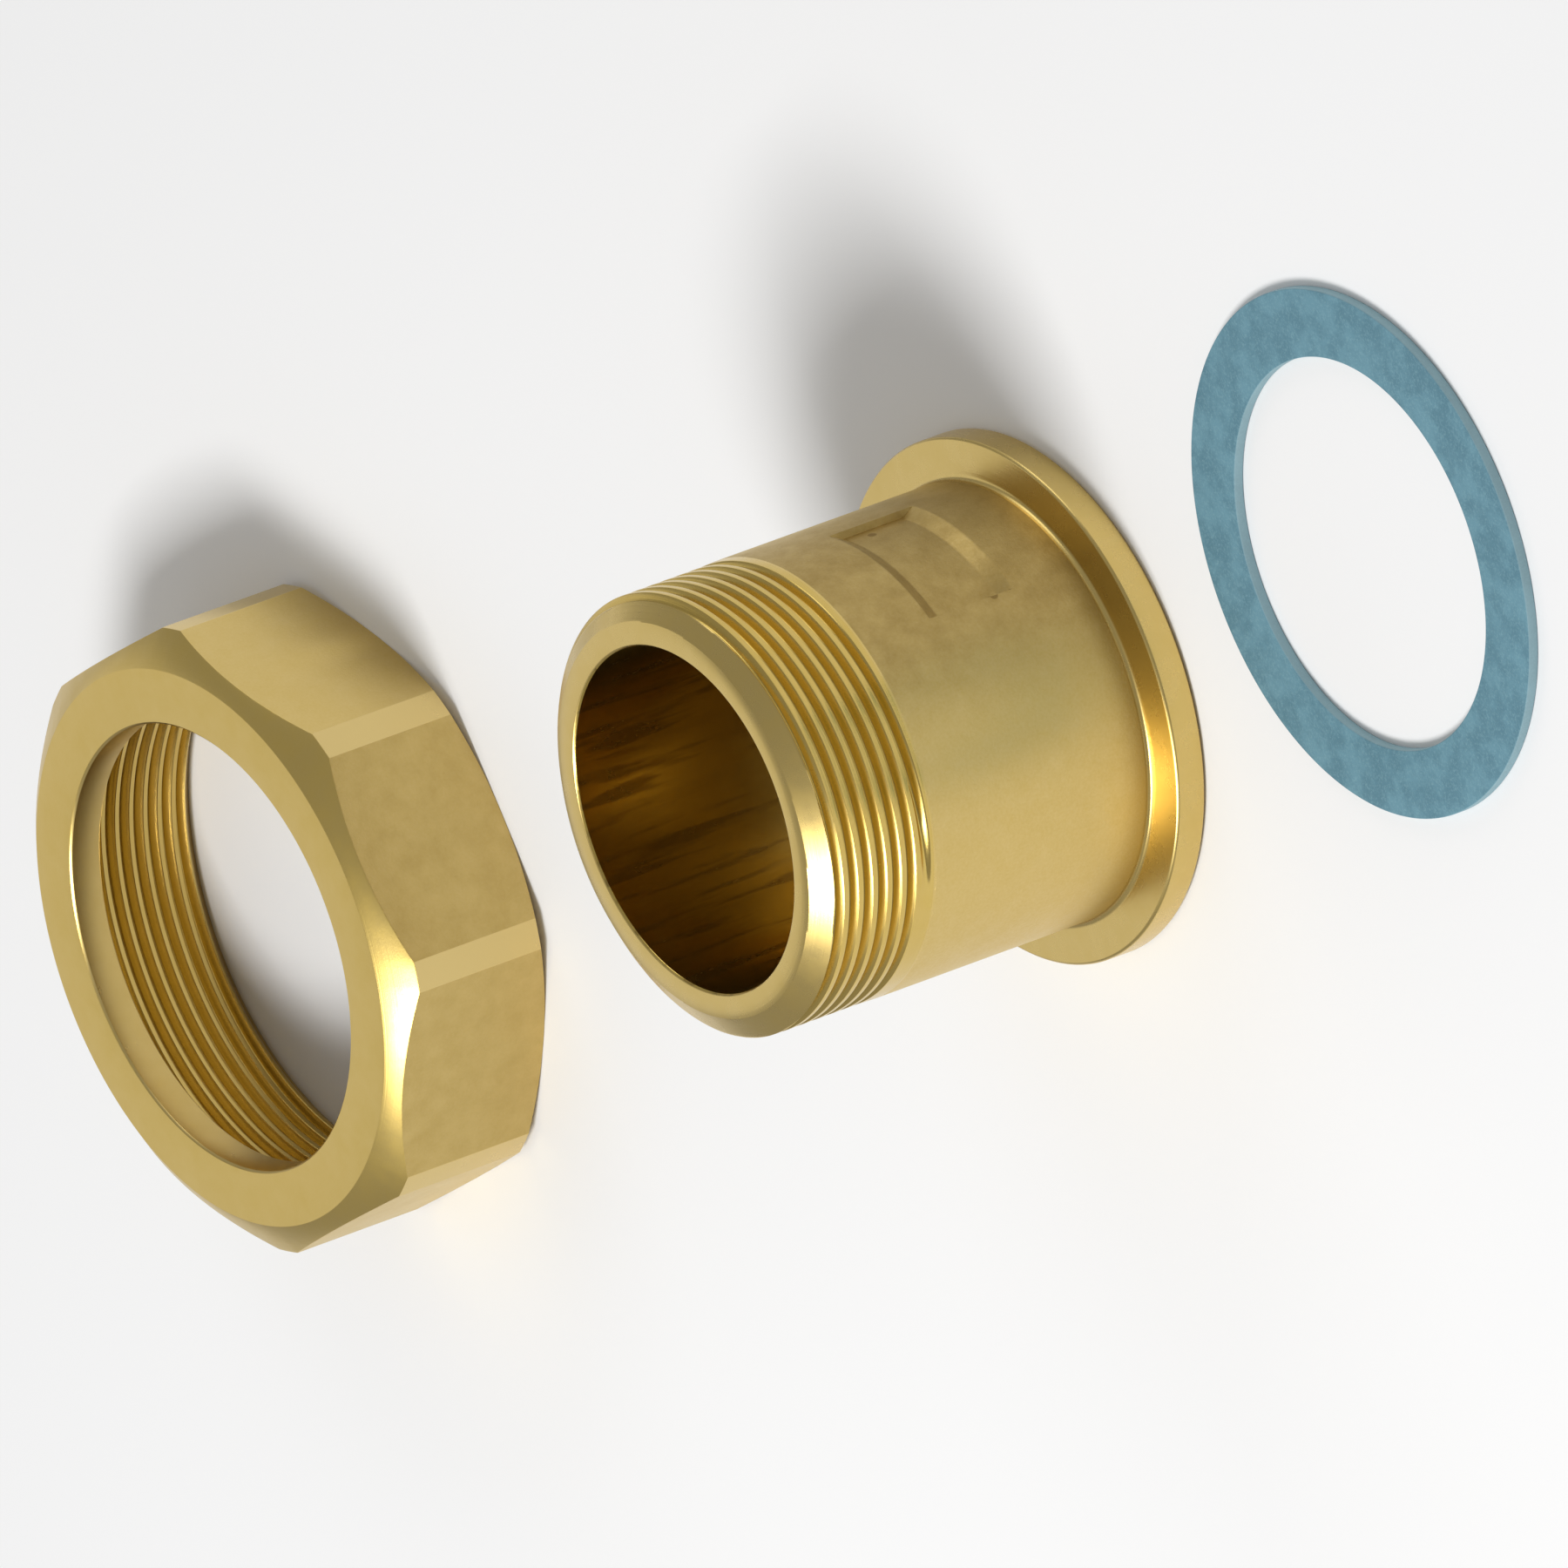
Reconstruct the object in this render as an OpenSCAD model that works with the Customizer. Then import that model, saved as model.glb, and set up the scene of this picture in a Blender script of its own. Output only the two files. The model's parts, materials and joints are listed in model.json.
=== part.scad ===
// Threaded tailpiece set for a pipe union: a brass tailpiece with a flange and a pipe thread,
// the eight-sided union nut that slides over its barrel, and the flat gasket that seals its flange.
// The pieces lie apart on one surface, each on its flat side with its axis upright.
// Units are millimetres. The origin is the centre of the tailpiece's sealing face.

/* [Threads] */
// Major diameter of the tailpiece's outer pipe thread
tail_thread_d = 59.6; // [57:0.1:62]
// Major diameter of the nut's inner thread
nut_thread_d = 75.2; // [74:0.1:77]
// Radial depth of the nut's thread
thread_depth = 1.48; // [1.2:0.01:1.6]

/* [Tailpiece] */
// Length from the sealing face to the threaded end
tail_length = 57.5; // [48:0.5:90]
// Diameter of the water way
tail_bore_d = 46.6; // [36:0.1:48]
// Chamfer where the water way opens at the threaded end
bore_chamfer = 0.3; // [0.1:0.05:0.8]
// Height of the barrel above the thread's crests, on the radius
barrel_step = 0.1; // [0.05:0.05:0.5]
// Length of the threaded end, with its lead-in
tail_thread_length = 18; // [10:0.5:22]
// Length of the run-out, where the thread's crests rise to the barrel
run_out_length = 2.3; // [1.5:0.1:4]
// Length of the lead-in cone along the axis
lead_in_length = 2.1; // [1:0.1:4]
// Depth of the lead-in cone on the radius
lead_in_depth = 3.2; // [1:0.1:3.3]
// Rounding where the lead-in cone meets the thread
lead_in_rounding = 0.5; // [0.1:0.05:0.8]

/* [Flange] */
// Thickness of the flange
flange_thickness = 4.8; // [3:0.1:8]
// Chamfer around the sealing face
seal_chamfer = 0.6; // [0.2:0.1:1.2]
// Chamfer around the flange's back
back_chamfer = 0.3; // [0.1:0.05:0.8]
// Fillet between the barrel and the flange's back
flange_fillet = 0.8; // [0.3:0.1:1.5]
// Gap between the flange's rim and the crests of the nut's thread, on the radius
flange_clearance = 0.6; // [0.3:0.1:1.5]

/* [Barrel pocket] */
// Width of the shallow pocket, measured around the barrel
pocket_width = 22; // [8:0.5:40]
// Height of the pocket's opening along the barrel
pocket_height = 13.5; // [5:0.5:16]
// Depth of the pocket, the same all the way around
pocket_depth = 1; // [0.3:0.1:2]
// Height over which the pocket's upper and lower walls slope
pocket_draft = 2; // [0.2:0.1:2.4]
// Height of the pocket's lower edge above the flange
pocket_lift = 10.5; // [3:0.5:12]
// Turn of the pocket's middle about the axis, in degrees
pocket_turn = -42; // [-180:1:180]

/* [Union nut] */
// Wall between the nut's thread and its eight flats
nut_wall = 2.9; // [1.5:0.1:6]
// How far the eight corners are turned down, on the radius
corner_trim = 0.8; // [0.2:0.1:2]
// Height of the nut
nut_height = 24.6; // [20:0.1:36]
// Thickness of the collar that pulls on the flange
collar_thickness = 5; // [3:0.1:8]
// Gap between the collar and the barrel, on the radius
collar_clearance = 0.8; // [0.3:0.1:1.2]
// Chamfer at both edges of the collar's hole
collar_chamfer = 0.3; // [0.1:0.05:0.8]
// How far inside the flats the collar's flat face ends
collar_face_inset = 2.2; // [0.5:0.1:4]
// Slope of the chamfer around the collar's face, in degrees
collar_face_slope = 35; // [20:1:45]
// Slope of the chamfer around the open end, in degrees
open_end_slope = 30; // [20:1:45]
// Width of the run-out groove under the collar
groove_width = 2.2; // [1.5:0.1:4]
// Depth of the groove and the mouth beyond the thread, on the radius
groove_depth = 0.3; // [0.1:0.05:0.6]
// Turn of the nut about its axis, in degrees
nut_turn = 5; // [0:1:45]

/* [Gasket] */
// How far the gasket's hole stands back from the water way, on the radius
gasket_setback = 2.9; // [0.5:0.1:5]
// Thickness of the gasket
gasket_thickness = 1.5; // [1:0.1:3]
// Gap between the gasket and the crests of the nut's thread, on the radius
gasket_clearance = 0.8; // [0.2:0.1:2]

/* [Places] */
// Free space between the tailpiece and the nut
nut_gap = 96; // [20:1:160]
// Sideways place of the nut
nut_shift = 5.5; // [-20:0.5:20]
// Free space between the tailpiece and the gasket
gasket_gap = 14.5; // [5:0.5:60]
// Sideways place of the gasket
gasket_shift = 2.5; // [-20:0.5:20]

/* [Hidden] */
$fn = 128;
overcut = 1;
flat_count = 8;
brass = "#bfa35a";
fibre = "#5f93a6";

thread_r = tail_thread_d / 2;
barrel_r = thread_r + barrel_step;
bore_r = tail_bore_d / 2;
thread_start = tail_length - tail_thread_length;
cone_start = tail_length - lead_in_length;
face_r = thread_r - lead_in_depth;

nut_crest_r = nut_thread_d / 2 - thread_depth;
groove_r = nut_thread_d / 2 + groove_depth;
collar_r = barrel_r + collar_clearance;
flats_r = nut_thread_d / 2 + nut_wall;
sharp_corner_r = flats_r / cos(180 / flat_count);
corner_r = sharp_corner_r - corner_trim;
collar_face_r = flats_r - collar_face_inset;
collar_base = nut_height - collar_thickness;
mouth_chamfer = groove_r - nut_crest_r;

flange_r = nut_crest_r - flange_clearance;
gasket_r = nut_crest_r - gasket_clearance;
gasket_hole_r = bore_r + gasket_setback;

pocket_floor = barrel_r - pocket_depth;
pocket_base = flange_thickness + pocket_lift;
pocket_top = pocket_base + pocket_height;
pocket_angle = pocket_width / barrel_r * 180 / PI;

nut_y = flange_r + nut_gap + corner_r;
gasket_y = -(flange_r + gasket_gap + gasket_r);

// Half section of the tailpiece's solid body, radius along X and height along Y
module tail_section() {
    polygon([
        [0, 0],
        [flange_r - seal_chamfer, 0],
        [flange_r, seal_chamfer],
        [flange_r, flange_thickness - back_chamfer],
        [flange_r - back_chamfer, flange_thickness],
        [barrel_r, flange_thickness],
        [barrel_r, thread_start],
        [thread_r, thread_start + run_out_length],
        [thread_r, cone_start],
        [face_r, tail_length],
        [0, tail_length],
    ]);
    flange_fillet_section();
}

// Concave corner between the barrel and the flange's back
module flange_fillet_section() {
    difference() {
        translate([barrel_r - flange_fillet, flange_thickness - flange_fillet])
            square(2 * flange_fillet);
        translate([barrel_r + flange_fillet, flange_thickness + flange_fillet])
            circle(r = flange_fillet);
    }
}

// What the rounding takes off the edge between the lead-in cone and the thread
module lead_in_rounding_section() {
    cone_turn = atan2(lead_in_length, lead_in_depth);
    reach = lead_in_rounding * tan((90 - cone_turn) / 2);
    centre = [thread_r - lead_in_rounding, cone_start - reach];
    difference() {
        polygon([
            [thread_r, centre[1]],
            [thread_r + overcut, centre[1]],
            [thread_r + overcut, cone_start + overcut],
            [thread_r - reach * cos(cone_turn), cone_start + overcut],
            [thread_r - reach * cos(cone_turn), cone_start + reach * sin(cone_turn)],
            centre,
        ]);
        translate(centre) circle(r = lead_in_rounding);
    }
}

// Half section of the water way, open at both ends
module bore_section() {
    polygon([
        [0, -overcut],
        [bore_r, -overcut],
        [bore_r, tail_length - bore_chamfer],
        [bore_r + bore_chamfer + overcut, tail_length + overcut],
        [0, tail_length + overcut],
    ]);
}

// Section of the pocket, with sloping walls above and below its floor
module pocket_section() {
    polygon([
        [pocket_floor, pocket_base + pocket_draft],
        [barrel_r, pocket_base],
        [barrel_r + overcut, pocket_base],
        [barrel_r + overcut, pocket_top],
        [barrel_r, pocket_top],
        [pocket_floor, pocket_top - pocket_draft],
    ]);
}

// Shallow pocket whose floor follows the barrel
module barrel_pocket() {
    rotate([0, 0, pocket_turn - pocket_angle / 2])
        rotate_extrude(angle = pocket_angle) pocket_section();
}

module tailpiece() {
    color(brass)
        difference() {
            rotate_extrude() tail_section();
            rotate_extrude() lead_in_rounding_section();
            rotate_extrude() bore_section();
            barrel_pocket();
        }
}

// Turned envelope that rounds off the nut's corners and chamfers both of its ends
module nut_envelope_section() {
    collar_slope_height = (corner_r - collar_face_r) * tan(collar_face_slope);
    open_slope_height = (corner_r - flats_r) * tan(open_end_slope);
    polygon([
        [0, 0],
        [flats_r, 0],
        [corner_r, open_slope_height],
        [corner_r, nut_height - collar_slope_height],
        [collar_face_r, nut_height],
        [0, nut_height],
    ]);
}

// Half section of the space inside the nut: mouth, thread crests, groove and collar
module nut_hollow_section() {
    polygon([
        [0, -overcut],
        [groove_r + overcut, -overcut],
        [nut_crest_r, mouth_chamfer],
        [nut_crest_r, collar_base - groove_width],
        [groove_r, collar_base - groove_width],
        [groove_r, collar_base],
        [collar_r + collar_chamfer, collar_base],
        [collar_r, collar_base + collar_chamfer],
        [collar_r, nut_height - collar_chamfer],
        [collar_r + collar_chamfer + overcut, nut_height + overcut],
        [0, nut_height + overcut],
    ]);
}

module union_nut() {
    color(brass)
        translate([nut_shift, nut_y, 0])
            rotate([0, 0, nut_turn])
                difference() {
                    intersection() {
                        rotate([0, 0, 180 / flat_count])
                            cylinder(r = sharp_corner_r, h = nut_height, $fn = flat_count);
                        rotate_extrude() nut_envelope_section();
                    }
                    rotate_extrude() nut_hollow_section();
                }
}

module gasket() {
    color(fibre)
        translate([gasket_shift, gasket_y, 0])
            difference() {
                cylinder(r = gasket_r, h = gasket_thickness);
                translate([0, 0, -overcut])
                    cylinder(r = gasket_hole_r, h = gasket_thickness + 2 * overcut);
            }
}

tailpiece();
union_nut();
gasket();
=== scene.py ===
# %% [markdown]
# # A threaded tailpiece with its union nut and gasket
# A tailpiece is the loose end of a pipe union: a short brass tube with a flange at one end and a
# pipe thread at the other. The eight-sided nut slides over the barrel and pulls the flange onto a
# flat gasket. Here the three pieces lie apart on one surface, each with its axis upright. The solid
# model gives the sizes and places, and this script gives the threads, the edges and the finishes.

# %% Load the frame
import json
import math
import bmesh
import bpy
import numpy as np
from mathutils import Matrix, Vector


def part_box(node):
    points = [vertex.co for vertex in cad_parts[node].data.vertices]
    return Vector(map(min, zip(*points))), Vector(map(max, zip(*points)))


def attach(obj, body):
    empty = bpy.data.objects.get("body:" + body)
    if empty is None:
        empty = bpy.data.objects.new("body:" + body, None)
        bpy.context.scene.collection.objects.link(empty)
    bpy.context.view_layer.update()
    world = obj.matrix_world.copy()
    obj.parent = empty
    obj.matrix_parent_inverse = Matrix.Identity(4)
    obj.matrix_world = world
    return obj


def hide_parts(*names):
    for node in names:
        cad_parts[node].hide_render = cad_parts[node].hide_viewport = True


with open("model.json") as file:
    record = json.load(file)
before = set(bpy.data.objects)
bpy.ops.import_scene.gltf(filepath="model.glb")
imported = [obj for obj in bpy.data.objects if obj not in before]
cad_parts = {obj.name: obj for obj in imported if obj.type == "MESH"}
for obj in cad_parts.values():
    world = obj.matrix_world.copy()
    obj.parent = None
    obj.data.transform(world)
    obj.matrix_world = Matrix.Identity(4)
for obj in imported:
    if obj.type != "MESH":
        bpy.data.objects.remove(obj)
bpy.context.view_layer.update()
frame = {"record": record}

# %% [markdown]
# ## Sizes
# Lengths are in metres, so a millimetre is written with `mm`. What a mating part depends on, such as
# a bore or a thread, comes from the mounts of the solid model, and the outer sizes come from the
# boxes of its pieces. Only what neither of them says is given again here as a number.

# %% Sizes that the solid model gives
mm = 0.001
mounts = {mount["name"]: mount for mount in frame["record"]["mounts"]}


def mount_radius(name):
    """Radius of a round mount, in metres."""
    return mounts[name]["dims"]["r_mm"] * mm


def box_middle(node):
    """Middle of a node's box, seen from above."""
    low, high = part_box(node)
    return ((low[0] + high[0]) / 2, (low[1] + high[1]) / 2)


tail_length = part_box("tailpiece")[1][2]
flange_r = (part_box("tailpiece")[1][0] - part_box("tailpiece")[0][0]) / 2
bore_r = mount_radius("tail_bore")
thread_r = mount_radius("tail_thread")
nut_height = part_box("union_nut")[1][2]
nut_crest_r = mount_radius("nut_thread")
collar_r = mount_radius("nut_collar")
gasket_r = (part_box("gasket")[1][0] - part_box("gasket")[0][0]) / 2
gasket_hole_r = mount_radius("gasket_hole")
gasket_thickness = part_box("gasket")[1][2]
tail_middle = box_middle("tailpiece")
nut_middle = box_middle("union_nut")
gasket_middle = box_middle("gasket")
print("flange radius", round(flange_r / mm, 2), "mm, length", round(tail_length / mm, 2), "mm")
print("nut at", nut_middle, "and gasket at", gasket_middle)

# %% Sizes of the threads and the turned details
pitch = 2.309 * mm
thread_depth = 1.48 * mm
cut_depth = 1.15 * mm
half_groove = 0.2 * pitch
barrel_r = thread_r + 0.1 * mm
thread_start = tail_length - 18 * mm
run_out_length = 2.3 * mm
lead_in_length = 2.1 * mm
lead_in_depth = 3.2 * mm
face_r = thread_r - lead_in_depth
bore_chamfer = 0.3 * mm
flange_thickness = 4.8 * mm
seal_chamfer = 0.6 * mm
back_chamfer = 0.3 * mm
flange_fillet = 0.8 * mm

pocket_width = 22 * mm
pocket_base = flange_thickness + 10.5 * mm
pocket_top = pocket_base + 13.5 * mm
pocket_depth = 1.0 * mm
pocket_draft = 2.0 * mm
pocket_turn = math.radians(-42)

flat_count = 8
nut_wall = 2.9 * mm
corner_trim = 0.8 * mm
groove_depth = 0.3 * mm
groove_width = 2.2 * mm
collar_thickness = 5 * mm
collar_chamfer = 0.3 * mm
collar_face_inset = 2.2 * mm
collar_face_slope = math.radians(35)
open_end_slope = math.radians(30)
nut_turn = math.radians(5)
edge_rounding = 0.15 * mm
flats_r = nut_crest_r + thread_depth + nut_wall
sharp_corner_r = flats_r / math.cos(math.pi / flat_count)
corner_r = sharp_corner_r - corner_trim
groove_r = nut_crest_r + thread_depth + groove_depth
collar_face_r = flats_r - collar_face_inset
collar_base = nut_height - collar_thickness

# %% [markdown]
# ## The camera
# The photograph looks down at the set from the front, and its frame is turned so that upright axes
# point to the left and down in the picture. The pieces are small in a long lens, which keeps the
# sizes of the near and the far piece alike.

# %% Camera
camera_elevation = math.radians(31.95)
camera_roll = math.radians(-109.96)
camera_aim = Vector((0, 66.2 * mm, 0))
camera_distance = 7124 * mm
lens_pixels = 63000
frame_pixels = 1800

camera_data = bpy.data.cameras.new("camera")
camera_data.sensor_width = 36
camera_data.lens = lens_pixels / frame_pixels * camera_data.sensor_width
camera_data.clip_end = 20
camera = bpy.data.objects.new("camera", camera_data)
bpy.context.scene.collection.objects.link(camera)
camera_turn = Matrix.Rotation(math.pi / 2 - camera_elevation, 3, "X") @ Matrix.Rotation(camera_roll, 3, "Z")
camera.location = camera_aim + camera_turn @ Vector((0, 0, camera_distance))
camera.rotation_euler = camera_turn.to_euler()
bpy.context.scene.camera = camera
print("camera at", [round(value, 3) for value in camera.location], "with lens", camera_data.lens, "mm")

# %% [markdown]
# ## Node trees as Python expressions
# A pattern or a thread form is a formula, and a formula reads best as one. `Field` wraps a node's
# socket, so that an expression such as `height / pitch - turn` adds its Math nodes by itself. The
# same class serves the Geometry Nodes of the threads and the shaders of the metal.

# %% A socket that can be calculated with
class Field:
    """A node's output socket, or a number, used in a Python expression."""

    def __init__(self, tree, socket):
        self.tree = tree
        self.socket = socket

    def math(self, operation, *others, clamp=False):
        inputs = dict(enumerate((self, *others)))
        settings = {"operation": operation, "use_clamp": clamp}
        return add_node(self.tree, "ShaderNodeMath", settings, inputs)[0]

    def __add__(self, other):
        return self.math("ADD", other)

    def __radd__(self, other):
        return self.math("ADD", other)

    def __sub__(self, other):
        return self.math("SUBTRACT", other)

    def __rsub__(self, other):
        return number(self.tree, other).math("SUBTRACT", self)

    def __mul__(self, other):
        return self.math("MULTIPLY", other)

    def __rmul__(self, other):
        return self.math("MULTIPLY", other)

    def __truediv__(self, other):
        return self.math("DIVIDE", other)

    def __rtruediv__(self, other):
        return number(self.tree, other).math("DIVIDE", self)

    def __gt__(self, other):
        return self.math("GREATER_THAN", other)

    def __lt__(self, other):
        return self.math("LESS_THAN", other)

    def step(self, low, high):
        """Smooth step from 0 at low to 1 at high."""
        settings = {"interpolation_type": "SMOOTHSTEP"}
        inputs = {"Value": self, "From Min": low, "From Max": high}
        return add_node(self.tree, "ShaderNodeMapRange", settings, inputs)["Result"]


class Node:
    """A node whose outputs are taken by name or number as Fields."""

    def __init__(self, tree, node):
        self.tree = tree
        self.node = node

    def __getitem__(self, name):
        return Field(self.tree, self.node.outputs[name])


def number(tree, value):
    """A number as a Field, for the left side of an expression."""
    node = add_node(tree, "ShaderNodeValue", {}, {})
    node.node.outputs[0].default_value = value
    return node[0]


def add_node(tree, kind, settings, inputs):
    """Adds one node: its settings first, then the values or links of its sockets."""
    node = tree.nodes.new(kind)
    for name, value in settings.items():
        setattr(node, name, value)
    for name, value in inputs.items():
        if isinstance(value, Field):
            tree.links.new(value.socket, node.inputs[name])
        else:
            node.inputs[name].default_value = value
    return Node(tree, node)


print("expressions are ready")

# %% [markdown]
# ## The screw thread
# A pipe thread is one groove that climbs by a pitch at each turn. Its flanks meet at 55 degrees and
# its crests and roots are rounded. A flat grid is rolled into a sleeve whose rows climb with the
# groove, so that each crest is a clean line of the mesh. Where the rows leave the sleeve they are
# pressed onto its end, and merging by distance takes what falls together away. One tree makes both
# threads: on the tailpiece the groove is cut inwards, in the nut outwards.

# %% Geometry Nodes for a thread sleeve
thread_columns = 288
rows_per_turn = 18


def thread_tree():
    """Node group that makes a threaded sleeve round the Z axis, open at both ends."""
    tree = bpy.data.node_groups.new("thread sleeve", "GeometryNodeTree")
    face = tree.interface
    for name in ("Low", "High", "Crest", "Depth", "Pitch", "Side", "Mouth Radius", "Mouth Height",
                 "Mouth Slope", "Plain Radius", "Fade", "End Radius", "Half Groove"):
        face.new_socket(name, in_out="INPUT", socket_type="NodeSocketFloat")
    for name in ("Turns", "Columns", "Rows Per Turn"):
        face.new_socket(name, in_out="INPUT", socket_type="NodeSocketInt")
    face.new_socket("Material", in_out="INPUT", socket_type="NodeSocketMaterial")
    face.new_socket("Geometry", in_out="OUTPUT", socket_type="NodeSocketGeometry")
    size = add_node(tree, "NodeGroupInput", {}, {})

    rows = size["Turns"] * size["Rows Per Turn"] + 1
    grid = add_node(tree, "GeometryNodeMeshGrid", {}, {
        "Size X": 1.0, "Size Y": 1.0, "Vertices X": size["Columns"] + 1, "Vertices Y": rows})
    place = add_node(tree, "GeometryNodeInputPosition", {}, {})["Position"]
    across = add_node(tree, "ShaderNodeSeparateXYZ", {}, {0: place})
    turn = across["X"] + 0.5
    along = across["Y"] + 0.5

    climb = size["Low"] + (along * size["Turns"] + turn - 1) * size["Pitch"]
    height = climb.math("MAXIMUM", size["Low"]).math("MINIMUM", size["High"])
    count = (height - size["Low"]) / size["Pitch"] - turn + 1
    groove = (count + 0.5).math("FLOOR")
    groove_height = size["Low"] + (groove + turn - 1) * size["Pitch"]

    flank_slope = 1 / math.tan(math.radians(27.5))
    from_groove = (count - groove).math("ABSOLUTE") * size["Pitch"]
    cut = 0.5 - (from_groove - size["Half Groove"]) * flank_slope / size["Depth"]
    cut = cut.math("SMOOTH_MIN", 1.0, 0.3).math("SMOOTH_MAX", 0.0, 0.25)
    fade = (groove_height - size["Low"]) / size["Fade"]
    cut = cut * fade.step(0.62, 0.74)
    crest_share = ((height - size["Low"]) / size["Fade"]).math("MINIMUM", 1.0)
    crest = size["Plain Radius"] + (size["Crest"] - size["Plain Radius"]) * crest_share
    threaded = size["Side"] * crest - size["Depth"] * cut
    mouth_distance = (size["Mouth Height"] - height).math("ABSOLUTE")
    mouth = size["Side"] * (size["Mouth Radius"] + mouth_distance * size["Mouth Slope"])
    radius = size["Side"] * threaded.math("SMOOTH_MIN", mouth, 0.25 * mm)
    is_last = along > 0.9999
    radius = radius + is_last * (size["End Radius"] - radius)

    angle = turn * math.tau
    spot = add_node(tree, "ShaderNodeCombineXYZ", {}, {
        "X": radius * angle.math("COSINE"), "Y": radius * angle.math("SINE"), "Z": height})[0]
    moved = add_node(tree, "GeometryNodeSetPosition", {}, {
        "Geometry": grid["Mesh"], "Position": spot})["Geometry"]
    merged = add_node(tree, "GeometryNodeMergeByDistance", {}, {
        "Geometry": moved, "Distance": 0.002 * mm})["Geometry"]
    real = add_node(tree, "GeometryNodeRealizeInstances", {}, {"Geometry": merged})["Geometry"]
    painted = add_node(tree, "GeometryNodeSetMaterial", {}, {
        "Geometry": real, "Material": size["Material"]})["Geometry"]
    add_node(tree, "NodeGroupOutput", {}, {"Geometry": painted})
    return tree


thread_group = thread_tree()
print("thread tree has", len(thread_group.nodes), "nodes")


# %% A sleeve as a plain mesh
def thread_sleeve(name, material, sizes):
    """Runs the thread tree with these sizes and returns the result as a plain mesh."""
    carrier = bpy.data.objects.new(name, bpy.data.meshes.new(name))
    bpy.context.scene.collection.objects.link(carrier)
    modifier = carrier.modifiers.new("thread", "NODES")
    modifier.node_group = thread_group
    turns = math.ceil((sizes["High"] - sizes["Low"]) / pitch) + 1
    values = dict(sizes, Turns=turns, Pitch=pitch, Depth=cut_depth, Material=material)
    values["Half Groove"] = half_groove
    values["Columns"] = thread_columns
    values["Rows Per Turn"] = rows_per_turn
    for item in thread_group.interface.items_tree:
        if item.in_out == "INPUT":
            modifier[item.identifier] = values[item.name]
    evaluated = carrier.evaluated_get(bpy.context.evaluated_depsgraph_get())
    mesh = bpy.data.meshes.new_from_object(evaluated)
    bpy.data.objects.remove(carrier)
    print(name, "has", len(mesh.polygons), "faces in", turns, "turns")
    return mesh


# %% [markdown]
# ## Turned bodies
# Both brass pieces are turned on a lathe, so their shape is a half section carried round the axis.
# Each corner of the section gets a small rounding, because a real edge is never perfectly sharp and
# the rounding is what catches the light. The section may differ from one angle to the next: that is
# how the same code makes the eight flats of the nut and the shallow pocket in the barrel.

# %% Rounded sections
def round_corners(points, steps=3):
    """Replaces each corner (radius, height, rounding) by steps + 1 points, or by one where rounding is 0."""
    rounded = []
    for index, (radius, height, rounding) in enumerate(points):
        here = np.array((radius, height))
        if rounding == 0 or index in (0, len(points) - 1):
            rounded.append(here)
            continue
        before = np.array(points[index - 1][:2]) - here
        after = np.array(points[index + 1][:2]) - here
        start = here + before / np.linalg.norm(before) * rounding
        end = here + after / np.linalg.norm(after) * rounding
        for share in np.linspace(0, 1, steps + 1):
            rounded.append((1 - share) ** 2 * start + 2 * share * (1 - share) * here + share ** 2 * end)
    return np.array(rounded)


def turned_mesh(name, angles, sections, closed):
    """Mesh of one section per angle, closed round the axis and, if asked, along the section too."""
    count = len(angles)
    length = len(sections[0])
    points = [
        (radius * math.cos(angle), radius * math.sin(angle), height)
        for angle, section in zip(angles, sections)
        for radius, height in section
    ]
    faces = []
    for column in range(count):
        this = column * length
        next_one = (column + 1) % count * length
        for row in range(length if closed else length - 1):
            after = (row + 1) % length
            faces.append((this + row, this + after, next_one + after, next_one + row))
    mesh = bpy.data.meshes.new(name)
    mesh.from_pydata(points, [], faces)
    return mesh


# %% Finished pieces from their meshes
def finished_piece(name, meshes, middle, turn, material, sharp_angle):
    """Welds the meshes, turns their faces outwards and sets the piece where the solid model has it."""
    piece = bmesh.new()
    for mesh in meshes:
        piece.from_mesh(mesh)
    bmesh.ops.remove_doubles(piece, verts=piece.verts, dist=0.004 * mm)
    bmesh.ops.recalc_face_normals(piece, faces=piece.faces)
    place = Matrix.Translation((middle[0], middle[1], 0)) @ Matrix.Rotation(turn, 4, "Z")
    bmesh.ops.transform(piece, matrix=place, verts=piece.verts)
    open_edges = sum(1 for edge in piece.edges if len(edge.link_faces) != 2)
    data = bpy.data.meshes.new(name)
    piece.to_mesh(data)
    piece.free()
    data.materials.clear()
    data.materials.append(material)
    data.shade_smooth()
    data.set_sharp_from_angle(angle=sharp_angle)
    thing = bpy.data.objects.new(name, data)
    bpy.context.scene.collection.objects.link(thing)
    triangles = sum(len(face.vertices) - 2 for face in data.polygons)
    print(name, "has", triangles, "triangles and", open_edges, "open edges")
    return thing


# %% [markdown]
# ## Brass
# The pieces are forged and then machined. Forged skin keeps a fine grain, turned faces show rings,
# the flats are smooth with faint tool lines, and the bores and threads are the brightest. Brass has
# no colour of its own under the skin but what it does to a reflection, so the finish is one metallic
# shader whose roughness and relief change from zone to zone. The zones are told apart by distance
# from the axis and by height, which follow the piece in any view.
# Some of the colour is painted shade: a darker band on the barrel's side round its pocket, dark dots by the
# pocket and darker thread roots.

# %% Helpers for the brass shaders
def new_material(name):
    """Empty node material with its Principled shader and output."""
    material = bpy.data.materials.new(name)
    material.use_nodes = True
    material.node_tree.nodes.clear()
    return material


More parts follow.
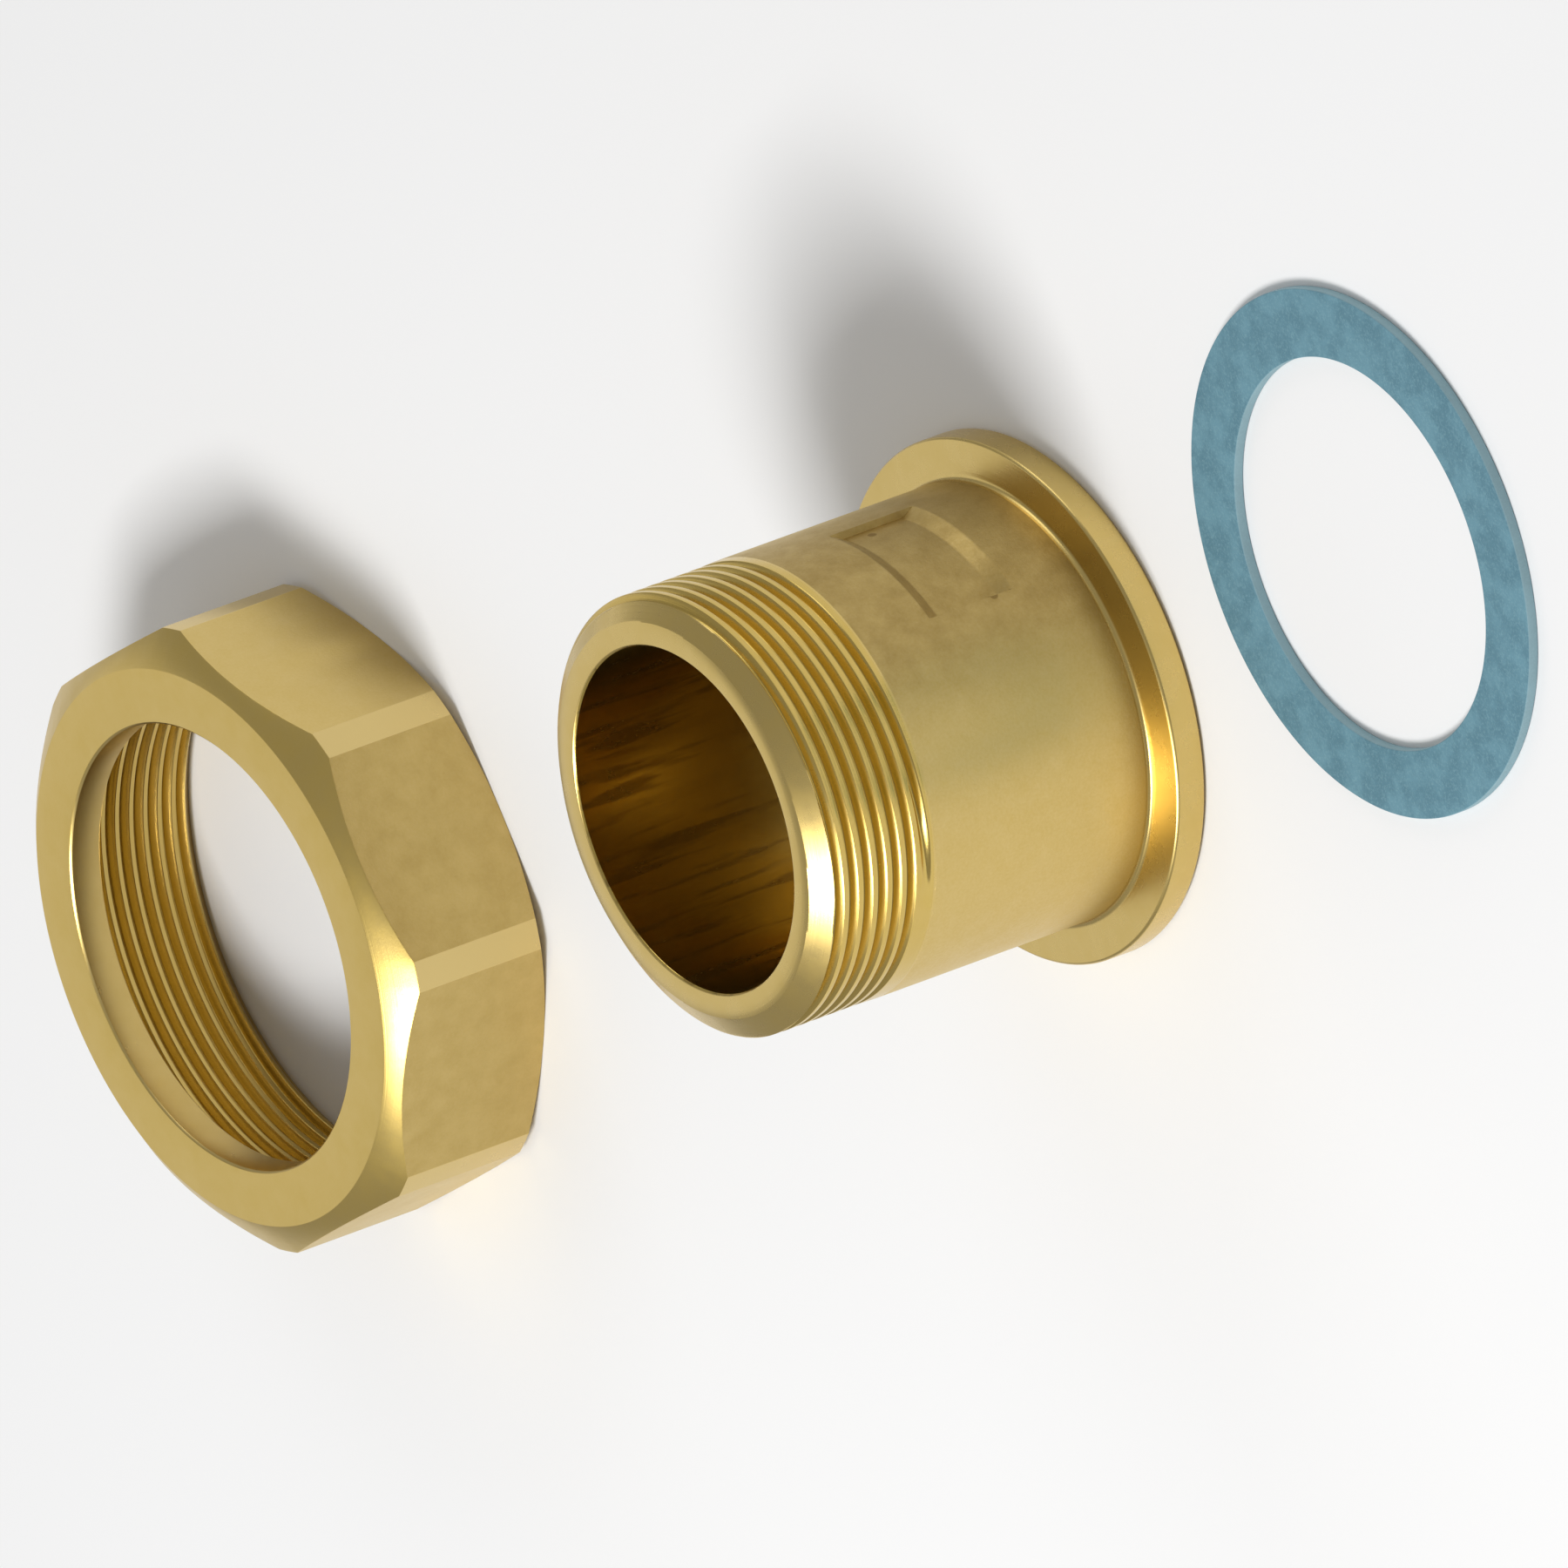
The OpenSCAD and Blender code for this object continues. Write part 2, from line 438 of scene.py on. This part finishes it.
def piece_coordinates(tree, middle):
    """Distance from the axis, angle, height and position of a piece, in millimetres and turns."""
    place = add_node(tree, "ShaderNodeTexCoord", {}, {})["Object"]
    centred = add_node(tree, "ShaderNodeMapping", {}, {
        "Vector": place, "Location": (-middle[0] / mm, -middle[1] / mm, 0), "Scale": (1 / mm,) * 3})[0]
    part = add_node(tree, "ShaderNodeSeparateXYZ", {}, {0: centred})
    radius = (part["X"] * part["X"] + part["Y"] * part["Y"]).math("SQRT")
    angle = part["Y"].math("ARCTAN2", part["X"])
    return centred, radius, angle, part["Z"]


def noise(tree, vector, scale, detail=2.0, roughness=0.5):
    """Noise between 0 and 1 with features of about 1 / scale millimetres."""
    return add_node(tree, "ShaderNodeTexNoise", {"noise_dimensions": "3D"}, {
        "Vector": vector, "Scale": scale, "Detail": detail, "Roughness": roughness})[0]


def mix_colour(tree, share, first, second):
    """Colour between first and second."""
    node = add_node(tree, "ShaderNodeMix", {"data_type": "RGBA"}, {0: share, 6: first, 7: second})
    return Field(tree, node.node.outputs[2])


def bump(tree, height, strength, distance):
    """Normal of a relief whose height is in millimetres."""
    return add_node(tree, "ShaderNodeBump", {}, {
        "Height": height, "Strength": strength, "Distance": distance})[0]


brass_light = (0.69, 0.525, 0.215, 1)
brass_deep = (0.63, 0.45, 0.115, 1)
brass_brown = (0.25, 0.16, 0.05, 1)
skin_grain = 0.03
turned_relief = 0.010
drawn_relief = 0.05


def brass_material(name, middle, zones):
    """Brass for one piece. zones() says for each place how it was made, how dark it has gone and where shade is
    painted into its colour.
    """
    material = new_material(name)
    tree = material.node_tree
    centred, radius, angle, height = piece_coordinates(tree, middle)
    cloud = noise(tree, centred, 0.3, 4.0, 0.6)
    speck = noise(tree, centred, 2.6, 3.0, 0.6)
    rings = noise(tree, add_node(tree, "ShaderNodeCombineXYZ", {}, {
        "X": radius * 5.0, "Y": height * 5.0, "Z": angle * 0.5})[0], 1.0, 2.0)
    drawn = noise(tree, add_node(tree, "ShaderNodeMapping", {}, {
        "Vector": centred, "Scale": (0.5, 0.5, 0.05)})[0], 1.0, 3.0)
    zone = zones(radius, angle, height, cloud, drawn)
    deep = (zone["deep"] + (cloud - 0.5) * 0.5 + (speck - 0.5) * zone["skin"] * 0.9).math("MAXIMUM", 0.0)
    colour = mix_colour(tree, deep.math("MINIMUM", 1.0), brass_light, brass_deep)
    # Stains and painted shade both pull the colour towards dark brown.
    colour = mix_colour(tree, zone["stain"], colour, brass_brown)
    relief = speck * zone["skin"] * skin_grain + rings * zone["turned"] * turned_relief
    relief = relief + drawn * zone["drawn"] * drawn_relief
    normal = bump(tree, relief, 1.0, mm)
    roughness = zone["rough"] + (speck - 0.5) * zone["skin"] * 0.16 + (cloud - 0.5) * 0.1 + zone["stain"] * 0.1
    shader = add_node(tree, "ShaderNodeBsdfPrincipled", {}, {
        "Metallic": 1.0, "Base Color": colour, "Roughness": roughness, "Normal": normal})
    add_node(tree, "ShaderNodeOutputMaterial", {}, {"Surface": shader[0]})
    return material


# %% Zones of the tailpiece
pocket_shade_dots = [(-25, 23.5, 0.9), (-63, 18.4, 0.9), (-24, 18.3, 0.6), (-63, 24.0, 0.5)]


def painted_pit_shade(angle, height, degrees, level, strength):
    """Painted shade of a small pit on the barrel: a round dark spot, with no pit in the shape."""
    across = (angle - math.radians(degrees)) * (barrel_r / mm)
    along = height - level
    distance = (across * across + along * along).math("SQRT")
    return strength - distance.step(0.45, 0.95) * strength


def tail_zones(radius, angle, height, cloud, drawn):
    """Blasted barrel skin, turned flange and end, bright thread and a drawn water way, with painted shade on the
    barrel's side round the pocket, in dots by the pocket and in the thread roots.
    """
    skin = (radius > barrel_r / mm - 1.3) * (height < thread_start / mm) * (height > flange_thickness / mm + 0.8)
    bore = radius < bore_r / mm + 0.2
    threaded = (height > thread_start / mm + 0.3) * (height < (tail_length - lead_in_length) / mm)
    threaded = threaded * (1 - bore)
    # Thread roots: painted shade, darker brown and deeper in tint than the crests.
    groove = threaded * (1 - radius.step((thread_r - cut_depth) / mm + 0.1, thread_r / mm - 0.15))
    # Painted shade, mottled like a stain: the barrel's side round the pocket is pulled towards dark brown.
    tarnish_and_shade_side = (1 - (angle - pocket_turn).math("ABSOLUTE").step(0.35, 0.95)) * skin
    stain = tarnish_and_shade_side * (cloud * 0.5 + 0.25) + bore * drawn.step(0.5, 0.65) * 0.7 + groove * 0.12
    # Dark dots by the pocket's edges: painted shade of small pits.
    for degrees, level, strength in pocket_shade_dots:
        stain = stain.math("MAXIMUM", painted_pit_shade(angle, height, degrees, level, strength) * skin)
    return {
        "skin": skin, "turned": 1 - skin - bore, "drawn": bore, "stain": stain,
        "deep": bore * 0.5 + threaded * 0.35 + groove * 0.5 - skin * 0.15 + 0.45,
        "rough": skin * 0.15 - threaded * 0.04 - bore * 0.08 + 0.28}


# %% Zones of the nut
def nut_zones(radius, angle, height, cloud, drawn):
    """Smooth flats, each a little darker or paler, turned corners and collar face, bright thread with painted
    shade in its roots.
    """
    inside = radius < (nut_crest_r + thread_depth + groove_depth) / mm + 0.05
    threaded = inside * (height < (nut_height - collar_thickness) / mm)
    # Thread roots: painted shade, darker brown and deeper in tint than the crests.
    groove = threaded * radius.step(nut_crest_r / mm + 0.15, (nut_crest_r + cut_depth) / mm - 0.1)
    from_face = (radius - collar_face_r / mm).math("MAXIMUM", 0.0) * math.tan(collar_face_slope)
    face = height > nut_height / mm - 0.05 - from_face
    corner = radius > corner_r / mm - 0.03
    turned = (face + corner).math("MINIMUM", 1.0)
    flat = (1 - inside) * (1 - turned)
    number_of_flat = ((angle - nut_turn) * (flat_count / math.tau) + 0.5).math("FLOOR")
    tone = (number_of_flat * 2.4 + 1.2).math("SINE") * 0.5 + 0.5
    return {
        "skin": flat * 0.6 + face * 0.2, "turned": turned + threaded * 0.3, "drawn": 0.0 * radius,
        "stain": flat * tone * (cloud * 0.4 + 0.2) + groove * 0.1,
        "deep": face * 0.35 + threaded * 0.35 + groove * 0.4 - corner * 0.5 + 0.35,
        "rough": flat * 0.1 + face * 0.04 - threaded * 0.06 + 0.29}


tail_brass = brass_material("tailpiece brass", tail_middle, tail_zones)
nut_brass = brass_material("nut brass", nut_middle, nut_zones)
print("brass is mixed")

# %% [markdown]
# ## The tailpiece
# The half section runs from the barrel down over the fillet, round the flange and up through the
# water way to the end face. The threaded sleeve closes the gap between its two ends. The barrel
# carries a shallow pocket, left bare: near its edges the columns are drawn together, so its walls
# stay steep.

# %% Columns that gather at the pocket's edges
pocket_half = pocket_width / barrel_r / 2
wall_width = 0.15 * mm


def wrap(angle):
    """Angle between -pi and pi."""
    return (angle + math.pi) % math.tau - math.pi


def gathered(angle):
    """Moves a column near one of the pocket's edges onto the top or the foot of its wall."""
    away = wrap(angle - pocket_turn)
    step = math.tau / thread_columns
    for side in (-1, 1):
        edge = side * pocket_half
        distance = (away - edge) * side
        wall = wall_width / barrel_r
        if 0 <= distance < step:
            return pocket_turn + edge
        if -step <= distance < 0:
            return pocket_turn + edge - side * wall
    return angle


def pocket_sink(angle, height):
    """How far the barrel's surface is sunk at this angle and height."""
    across = (pocket_half - abs(wrap(angle - pocket_turn))) * barrel_r / wall_width
    along = min(height - pocket_base, pocket_top - height) / pocket_draft
    return pocket_depth * min(max(min(across, along), 0), 1)


# %% Half section of the tailpiece
wall_shares = (1.1, 1.0, 0.9, 0.1, 0.0, -0.1)
barrel_heights = [thread_start]
barrel_heights += [pocket_top - pocket_draft * (1 - share) for share in wall_shares]
barrel_heights += [(pocket_top + pocket_base) / 2]
barrel_heights += [pocket_base + pocket_draft * (1 - share) for share in reversed(wall_shares)]
flange_section = [
    (barrel_r, pocket_base - 2 * mm, 0),
    (barrel_r, flange_thickness, flange_fillet),
    (flange_r - back_chamfer, flange_thickness, edge_rounding),
    (flange_r, flange_thickness - back_chamfer, edge_rounding),
    (flange_r, seal_chamfer, edge_rounding),
    (flange_r - seal_chamfer, 0, edge_rounding),
    (bore_r, 0, edge_rounding / 3),
    (bore_r, tail_length - bore_chamfer, edge_rounding / 2),
    (bore_r + bore_chamfer, tail_length, edge_rounding / 2),
    (face_r, tail_length, 0),
]
rest_of_section = round_corners(flange_section, 4)


def tail_section(angle):
    """Points of the half section at one angle, with the pocket sunk into the barrel."""
    barrel = [(barrel_r - pocket_sink(angle, height), height) for height in barrel_heights]
    return np.vstack([barrel, rest_of_section])


tail_angles = [index * math.tau / thread_columns for index in range(thread_columns)]
gathered_angles = [gathered(angle) for angle in tail_angles]
print("section has", len(tail_section(0)), "points")


# %% The tailpiece, threaded
def tail_body_mesh():
    """Everything of the tailpiece but its thread. Only the barrel's rows use the gathered columns."""
    sections = [tail_section(angle) for angle in gathered_angles]
    mesh = turned_mesh("tail body", tail_angles, sections, closed=False)
    length = len(sections[0])
    for column, angle in enumerate(gathered_angles):
        for row in range(1, len(barrel_heights)):
            radius, height = sections[column][row]
            mesh.vertices[column * length + row].co = (
                radius * math.cos(angle), radius * math.sin(angle), height)
    return mesh


tail_thread = thread_sleeve("tail thread", tail_brass, {
    "Low": thread_start, "High": tail_length, "Crest": thread_r, "Side": 1.0,
    "Mouth Radius": face_r, "Mouth Height": tail_length, "Mouth Slope": lead_in_depth / lead_in_length,
    "Plain Radius": barrel_r, "Fade": run_out_length, "End Radius": face_r})
tail_piece = finished_piece("tailpiece_turned", [tail_body_mesh(), tail_thread],
                            tail_middle, 0, tail_brass, math.radians(38))
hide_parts("tailpiece")
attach(tail_piece, "root")

# %% [markdown]
# ## The union nut
# Its outside is an octagon whose corners are turned down to a cylinder and whose two ends are
# chamfered on the lathe, which leaves a curved edge on every flat. At each angle the flat's distance
# is known, so the section can place its corners exactly on that curve.

# %% Columns and outer radius of the nut
half_flat = math.acos(flats_r / corner_r)
half_corner = math.pi / flat_count - half_flat
columns_per_half = thread_columns // flat_count // 2
corner_columns = 2
flat_columns = columns_per_half - corner_columns


def nut_angle(index):
    """Angle of a column: most are spread over the flats and a few over each turned corner."""
    flat, step = divmod(index + columns_per_half, 2 * columns_per_half)
    offset = step - columns_per_half
    side = 1 if offset >= 0 else -1
    if abs(offset) <= flat_columns:
        away = abs(offset) / flat_columns * half_flat
    else:
        away = half_flat + (abs(offset) - flat_columns) / corner_columns * half_corner
    return flat * math.tau / flat_count + side * away


def nut_section(index):
    """Half section of the nut at one column, from the thread's lower end to its upper end."""
    step = (index + columns_per_half) % (2 * columns_per_half) - columns_per_half
    away = abs(nut_angle(step)) if step else 0
    outer = min(flats_r / math.cos(away), corner_r)
    low_crease = (outer - flats_r) * math.tan(open_end_slope)
    high_crease = nut_height - (outer - collar_face_r) * math.tan(collar_face_slope)
    section = [
        (groove_r, 0, 0),
        (flats_r, 0, edge_rounding / 2),
        (outer, max(low_crease, 0.12 * mm), edge_rounding / 2),
        (outer, high_crease, edge_rounding),
        (collar_face_r, nut_height, edge_rounding),
        (collar_r + collar_chamfer, nut_height, edge_rounding / 2),
        (collar_r, nut_height - collar_chamfer, edge_rounding / 2),
        (collar_r, collar_base + collar_chamfer, edge_rounding / 2),
        (collar_r + collar_chamfer, collar_base, edge_rounding / 2),
        (groove_r, collar_base, edge_rounding / 2),
        (groove_r, collar_base - groove_width, 0),
    ]
    return round_corners(section, 2)


# %% The nut, threaded
def nut_body_mesh():
    """Outside, collar and groove of the nut. Rows inside the hole use evenly spread columns."""
    sections = [nut_section(index) for index in range(thread_columns)]
    mesh = turned_mesh("nut body", tail_angles, sections, closed=False)
    length = len(sections[0])
    outer_rows = range(1, 1 + 4 * 3)
    for column in range(thread_columns):
        angle = nut_angle(column)
        for row in outer_rows:
            radius, height = sections[column][row]
            mesh.vertices[column * length + row].co = (
                radius * math.cos(angle), radius * math.sin(angle), height)
    return mesh


nut_thread = thread_sleeve("nut thread", nut_brass, {
    "Low": 0.0, "High": collar_base - groove_width, "Crest": nut_crest_r, "Side": -1.0,
    "Mouth Radius": groove_r, "Mouth Height": 0.0, "Mouth Slope": -1.0,
    "Plain Radius": nut_crest_r, "Fade": 0.01 * mm, "End Radius": groove_r})
nut_piece = finished_piece("union_nut_machined", [nut_body_mesh(), nut_thread],
                           nut_middle, nut_turn, nut_brass, math.radians(17))
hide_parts("union_nut")
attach(nut_piece, "root")

# %% [markdown]
# ## The gasket
# It is punched from a sheet of pressed fibre: flat, matt, blue-grey and mottled, with slightly
# crushed edges that show the paler inside of the sheet.

# %% Pressed fibre
def gasket_material():
    """Mottled matt fibre with a paler cut edge."""
    material = new_material("pressed fibre")
    tree = material.node_tree
    centred, radius, angle, height = piece_coordinates(tree, gasket_middle)
    cloud = noise(tree, centred, 0.25, 4.0, 0.6)
    fleck = noise(tree, centred, 3.0, 3.0, 0.7)
    base = mix_colour(tree, cloud.step(0.35, 0.65), (0.085, 0.205, 0.265, 1), (0.125, 0.275, 0.345, 1))
    base = mix_colour(tree, fleck.step(0.45, 0.7) * 0.5, base, (0.20, 0.37, 0.43, 1))
    from_edge = (radius - (gasket_r + gasket_hole_r) / 2 / mm).math("ABSOLUTE")
    edge = from_edge.step((gasket_r - gasket_hole_r) / 2 / mm - 0.12, (gasket_r - gasket_hole_r) / 2 / mm)
    base = mix_colour(tree, edge * 0.6, base, (0.36, 0.52, 0.56, 1))
    normal = bump(tree, fleck * 0.03 + cloud * 0.03, 1.0, mm)
    shader = add_node(tree, "ShaderNodeBsdfPrincipled", {}, {
        "Base Color": base, "Roughness": fleck * 0.2 + 0.62, "Normal": normal})
    add_node(tree, "ShaderNodeOutputMaterial", {}, {"Surface": shader[0]})
    return material


# %% The gasket
punched_edge = 0.2 * mm
gasket_section = [
    (gasket_hole_r, punched_edge, 0),
    (gasket_hole_r, gasket_thickness, punched_edge),
    (gasket_r, gasket_thickness, punched_edge),
    (gasket_r, 0, punched_edge),
    (gasket_hole_r, 0, punched_edge),
    (gasket_hole_r, punched_edge, 0),
]
gasket_points = round_corners(gasket_section, 3)[:-1]
gasket_mesh = turned_mesh("gasket ring", tail_angles, [gasket_points] * thread_columns, closed=True)
gasket_piece = finished_piece("gasket_punched", [gasket_mesh], gasket_middle, 0,
                              gasket_material(), math.radians(50))
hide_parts("gasket")
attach(gasket_piece, "root")

# %% [markdown]
# ## Floor and light
# Metal shows what stands round it, so the light is large and soft: a pale floor, an even sky and two
# big panels. The panels are placed so that the pieces throw a soft shade to one side, which the
# polished walls then show as their darker band.
# On the barrel that darker band is also painted into the brass.

# %% Floor
floor_half = 4.0


def floor_material():
    """Matt white floor that keeps the shade of the pieces."""
    material = new_material("pale floor")
    tree = material.node_tree
    shader = add_node(tree, "ShaderNodeBsdfDiffuse", {}, {"Color": (0.86, 0.86, 0.86, 1)})
    add_node(tree, "ShaderNodeOutputMaterial", {}, {"Surface": shader[0]})
    return material


floor_mesh = bpy.data.meshes.new("floor")
floor_corners = [(x * floor_half, y * floor_half, -0.02 * mm) for x, y in ((-1, -1), (1, -1), (1, 1), (-1, 1))]
floor_mesh.from_pydata(floor_corners, [], [(0, 1, 2, 3)])
floor_mesh.materials.append(floor_material())
floor = bpy.data.objects.new("floor", floor_mesh)
bpy.context.scene.collection.objects.link(floor)


# %% Lamps and sky
def panel(name, place, aim, size, power):
    """Soft square lamp at place that faces aim."""
    data = bpy.data.lights.new(name, "AREA")
    data.shape = "SQUARE"
    data.size = size
    data.energy = power
    lamp = bpy.data.objects.new(name, data)
    bpy.context.scene.collection.objects.link(lamp)
    lamp.location = place
    lamp.rotation_euler = (Vector(aim) - Vector(place)).to_track_quat("-Z", "Y").to_euler()
    return lamp


panel("key panel", (-0.85, -0.15, 1.35), (0, 0.05, 0), 0.6, 20)
panel("far panel", (0.3, 1.6, 0.85), (0, 0.05, 0), 1.6, 4)
panel("rim panel", (1.35, -0.2, 0.42), (0, 0.05, 0), 0.8, 3)
world = bpy.data.worlds.new("sky")
world.use_nodes = True
world.node_tree.nodes["Background"].inputs["Color"].default_value = (1, 1, 1, 1)
world.node_tree.nodes["Background"].inputs["Strength"].default_value = 0.35
bpy.context.scene.world = world
bpy.context.scene.view_settings.view_transform = "Standard"
print("light is set")
